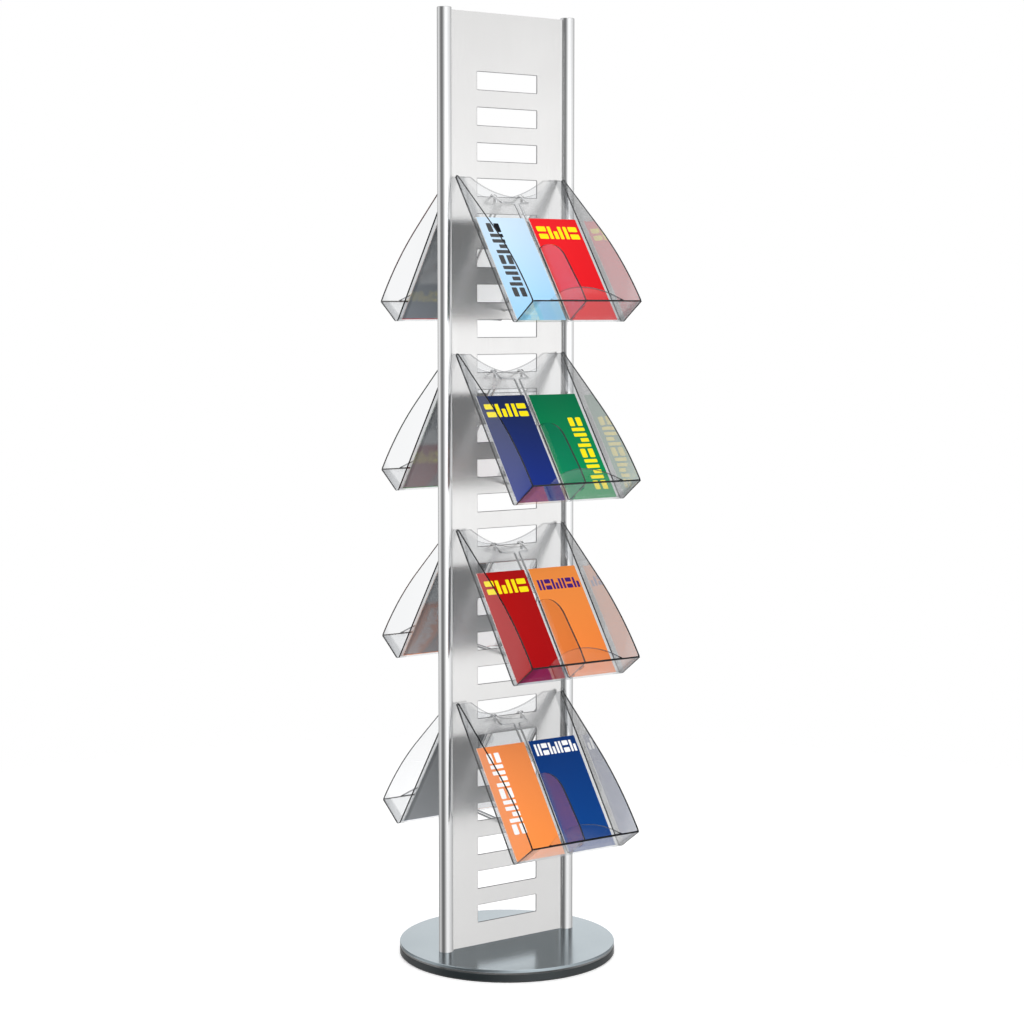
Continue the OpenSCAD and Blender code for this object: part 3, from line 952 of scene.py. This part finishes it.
def build_panel():
    # The rims, round the slots and along the sheet's sides, take the dark metal: painted shade
    piece = new_object("panel_sheet", panel_sheet, [PANEL_METAL, SLOT_EDGE], smooth_below=40)
    for polygon in piece.data.polygons:
        if polygon.material_index == FACE:
            polygon.use_smooth = False
    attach(piece, "column")
    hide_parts("panel")


# ---------------------------------------------------------------- stage, light, camera


def build_floor():
    """A pale floor that fades into the background, so that no horizon shows."""
    t = material_tree("floor")
    base = t.surface(Base_Color=(0.92, 0.92, 0.92, 1), Roughness=0.6,
                     Emission_Color=(1, 1, 1, 1), Emission_Strength=0.34)
    clear = t.add("ShaderNodeBsdfTransparent")
    distance = t.add("ShaderNodeVectorMath", operation="LENGTH")
    t.put(t.add("ShaderNodeTexCoord").outputs["Object"], distance.inputs[0])
    fade_from, fade_to = 0.7, 2.0
    fade = t.spread(distance.outputs["Value"], 0, 1, fade_from, fade_to)
    bpy.ops.mesh.primitive_circle_add(vertices=96, radius=2.1, fill_type="NGON")
    floor = bpy.context.active_object
    floor.name = "floor"
    floor.visible_glossy = False
    floor.data.materials.append(t.finish(t.mix(fade, base, clear)))


def greys(t, value, stops):
    """A grey that follows stops of (value, brightness), with soft steps between them."""
    low, high = stops[0][0], stops[-1][0]
    ramp = t.add("ShaderNodeValToRGB")
    ramp.color_ramp.interpolation = "EASE"
    t.put(t.spread(value, 0, 1, low, high), ramp.inputs["Fac"])
    elements = ramp.color_ramp.elements
    while len(elements) < len(stops):
        elements.new(0.5)
    for element, (at, grey) in zip(elements, stops):
        element.position = (at - low) / (high - low)
        element.color = (grey, grey, grey, 1)
    return ramp.outputs["Color"]


# Studio brightness by compass bearing in degrees, where 0 looks along +Y and 90 along +X
BEARINGS = (
    (-180, 1.25), (-162, 1.2), (-146, 0.85), (-130, 0.42), (-112, 0.2), (-92, 0.2),
    (-76, 0.4), (-58, 0.78), (-36, 0.8), (-20, 0.5), (6, 0.4), (22, 1.1), (38, 1.4),
    (52, 0.95), (66, 0.5), (98, 0.6), (120, 0.85), (146, 0.98), (164, 1.15), (180, 1.25))
# Studio brightness by the upward part of the direction
HEIGHTS = ((-1.0, 0.7), (-0.34, 0.66), (-0.24, 0.72), (-0.19, 0.88), (-0.05, 1.0), (0.03, 1.02),
           (0.14, 0.84), (0.3, 0.62), (0.55, 0.5), (0.8, 1.0), (1.0, 1.0))
# A black card hung above the front right, as shares of full black by bearing and by height
CARD_BEARINGS = ((-180, 0.0), (104, 0.0), (126, 1.0), (162, 1.0), (180, 0.0))
CARD_HEIGHTS = ((-1.0, 0.0), (0.17, 0.0), (0.26, 0.9), (0.62, 0.9), (0.74, 0.0), (1.0, 0.0))


def build_world():
    """White to the camera; to the object, a studio with bright and dark sides."""
    world = bpy.data.worlds.new("studio")
    bpy.context.scene.world = world
    t = Tree(world, "ShaderNodeOutputWorld")
    split = t.add("ShaderNodeSeparateXYZ")
    t.put(t.add("ShaderNodeTexCoord").outputs["Generated"], split.inputs["Vector"])
    upward = split.outputs["Z"]
    turn = t.calculate("ARCTAN2", split.outputs["X"], split.outputs["Y"])
    bearing = t.calculate("DEGREES", turn)
    bright = t.colours(1, greys(t, bearing, BEARINGS), greys(t, upward, HEIGHTS), "MULTIPLY")
    card = t.calculate("MULTIPLY", greys(t, bearing, CARD_BEARINGS), greys(t, upward, CARD_HEIGHTS))
    studio = t.add("ShaderNodeBackground")
    t.put(1.08, studio.inputs["Strength"])
    t.put(t.colours(card, bright, (0.02, 0.02, 0.02, 1)), studio.inputs["Color"])
    white = t.add("ShaderNodeBackground")
    t.put((1, 1, 1, 1), white.inputs["Color"])
    to_camera = t.add("ShaderNodeLightPath").outputs["Is Camera Ray"]
    t.finish(t.mix(to_camera, studio, white))


def soft_light(name, place_, target, size, power):
    light = bpy.data.lights.new(name, "AREA")
    light.shape = "RECTANGLE"
    light.size, light.size_y = size
    light.energy = power
    lamp = bpy.data.objects.new(name, light)
    lamp.location = place_
    lamp.visible_glossy = False
    lamp.rotation_euler = (Vector(target) - Vector(place_)).to_track_quat("-Z", "Y").to_euler()
    bpy.context.scene.collection.objects.link(lamp)


def build_lights():
    soft_light("key", (0.6, -3.2, 3.0), (0, 0, 0.9), (2.4, 2.4), 25)
    soft_light("fill", (-1.3, -1.3, 1.15), (0, 0, 1.1), (0.8, 1.2), 17)
    soft_light("top", (0, 0.4, 4.2), (0, 0, 0), (3.0, 3.0), 32)
    soft_light("back", (1.2, 3.0, 2.4), (0, 0, 0.9), (2.4, 2.4), 16)


def build_camera():
    """In front of the rack and to its left, looking slightly down."""
    disc_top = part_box("turntable_plate")[1][2]
    turn = math.radians(35.3)
    down = 4.474
    distance = 3.820
    height = 1.1088
    camera = bpy.data.cameras.new("camera")
    camera.sensor_width = 36
    camera.lens = 77.53
    camera.shift_x = 0.0049
    camera.shift_y = -0.030
    obj = bpy.data.objects.new("camera", camera)
    obj.location = (-math.sin(turn) * distance, -math.cos(turn) * distance, disc_top + height)
    obj.rotation_euler = (math.radians(90 - down), 0, -turn)
    bpy.context.scene.collection.objects.link(obj)
    bpy.context.scene.camera = obj


build_cad_finishes()
build_posts()
build_panel()
build_trays()
build_floor()
build_world()
build_lights()
build_camera()
bpy.context.scene.view_settings.view_transform = "Standard"
